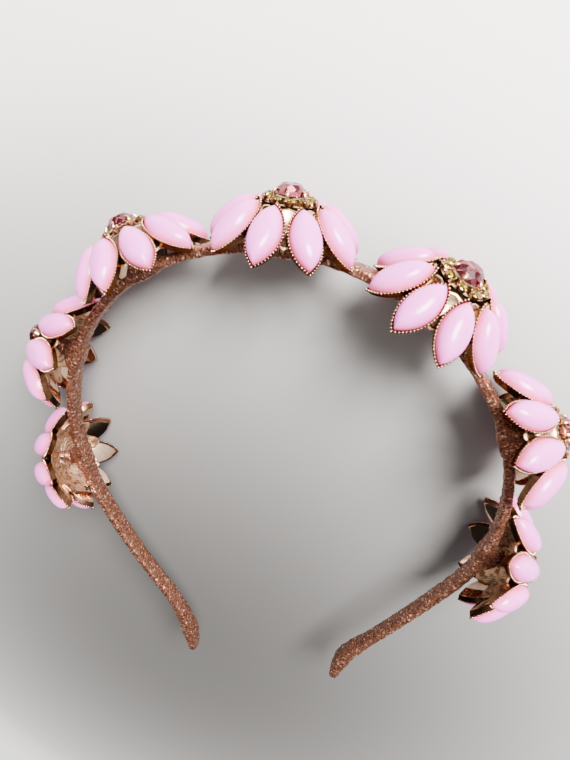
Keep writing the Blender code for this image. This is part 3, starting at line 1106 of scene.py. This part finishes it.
floorSettings = {
    "size": 1.6,
    "darkest": (-30, -106),  # mm
    # distance from the middle of the painted shade in mm, then the floor's grey there: a pool of shade
    # painted on the floor
    "greys": ((0, 0.083), (45, 0.097), (80, 0.13), (115, 0.195), (150, 0.30), (185, 0.45), (215, 0.82),
              (250, 1.0)),
    "warmth": (1.0, 0.97, 0.935),
    "roughness": 0.6,
    "specular": 0.15,
}
lightSettings = (
    # name, place and aim in m, size in m, power in W, tint, whether it is a fill light
    ("crownWindow", (0.36, 0.60, 0.56), (0.0, 0.02, 0), 0.42, 52.0, (1.0, 0.98, 0.97), False),
    ("openSideFill", (-0.35, -0.60, 0.42), (0.0, 0.0, 0), 0.80, 14.0, (1.0, 0.98, 0.97), True),
)
skySettings = {
    "window": (0.32, 0.56, 0.77),
    # cosine to the window's direction, then the light from there
    "levels": ((-1.0, 0.07), (0.0, 0.04), (0.30, 0.03), (0.42, 0.08), (0.60, 0.60), (0.80, 1.1),
               (0.90, 3.2), (1.0, 3.8)),
    "tint": (1.0, 0.97, 0.96),
    "power": 0.56,
    "seen": 1.6,  # grey level of the backdrop above the floor's edge
}


# the floor's colour darkens towards one place: a painted pool of shade, on top of the lamps' real shadows
def makeFloor(s):
    work = bmesh.new()
    bmesh.ops.create_grid(work, x_segments=1, y_segments=1, size=s["size"])
    floor = newPiece("floor", fromBmesh("floor", work))
    material, shader, tree = newMaterial("paleFloor")
    place = addNode(tree, "ShaderNodeTexCoord").outputs["Object"]
    away = addNode(tree, "ShaderNodeVectorMath", operation="DISTANCE")
    away.inputs[1].default_value = (s["darkest"][0] * mm, s["darkest"][1] * mm, 0)
    tree.links.new(place, away.inputs[0])
    reach = s["greys"][-1][0]
    share = addNode(tree, "ShaderNodeMath", operation="DIVIDE")
    share.inputs[1].default_value = reach * mm
    tree.links.new(away.outputs["Value"], share.inputs[0])
    stops = [(r / reach, colour(*[level * w for w in s["warmth"]])) for r, level in s["greys"]]
    paint = addRamp(tree, share.outputs[0], stops, "B_SPLINE")
    tree.links.new(paint, shader.inputs["Base Color"])
    shader.inputs["Roughness"].default_value = s["roughness"]
    shader.inputs["Specular IOR Level"].default_value = s["specular"]
    floor.data.materials.append(material)
    return floor


# a fill light is kept off the floor and out of reflections
def makeLights(rows, floor):
    offFloor = bpy.data.collections.new("offFloor")
    offFloor.objects.link(floor)
    for name, place, aim, size, power, tint, fill in rows:
        data = bpy.data.lights.new(name, "AREA")
        data.shape = "DISK"
        data.size = size
        data.energy = power
        data.color = tint
        lamp = bpy.data.objects.new(name, data)
        way = Vector(place) - Vector(aim)
        turn = way.to_track_quat("Z", "Y").to_matrix().to_4x4()
        lamp.matrix_world = Matrix.Translation(Vector(place)) @ turn
        scene.collection.objects.link(lamp)
        if fill:
            lamp.visible_glossy = False
            lamp.light_linking.receiver_collection = offFloor
    offFloor.collection_objects[0].light_linking.link_state = "EXCLUDE"


def makeSky(s):
    world = bpy.data.worlds.new("studio")
    scene.world = world
    world.use_nodes = True
    tree = world.node_tree
    background = tree.nodes["Background"]
    place = addNode(tree, "ShaderNodeTexCoord").outputs["Generated"]
    towards = addNode(tree, "ShaderNodeVectorMath", operation="DOT_PRODUCT")
    towards.inputs[1].default_value = Vector(s["window"]).normalized()
    tree.links.new(place, towards.inputs[0])
    share = addNode(tree, "ShaderNodeMath", operation="MULTIPLY_ADD")
    share.inputs[1].default_value = 0.5
    share.inputs[2].default_value = 0.5
    tree.links.new(towards.outputs["Value"], share.inputs[0])
    stops = [((cosine + 1) / 2, colour(*[level * w for w in s["tint"]])) for cosine, level in s["levels"]]
    tree.links.new(addRamp(tree, share.outputs[0], stops), background.inputs["Color"])
    background.inputs["Strength"].default_value = s["power"]
    backdrop = addNode(tree, "ShaderNodeBackground")
    backdrop.inputs["Color"].default_value = colour(*s["tint"])
    backdrop.inputs["Strength"].default_value = s["seen"]
    choice = addNode(tree, "ShaderNodeMixShader")
    tree.links.new(addNode(tree, "ShaderNodeLightPath").outputs["Is Camera Ray"], choice.inputs[0])
    tree.links.new(background.outputs[0], choice.inputs[1])
    tree.links.new(backdrop.outputs[0], choice.inputs[2])
    tree.links.new(choice.outputs[0], tree.nodes["World Output"].inputs["Surface"])


makeLights(lightSettings, makeFloor(floorSettings))
makeSky(skySettings)
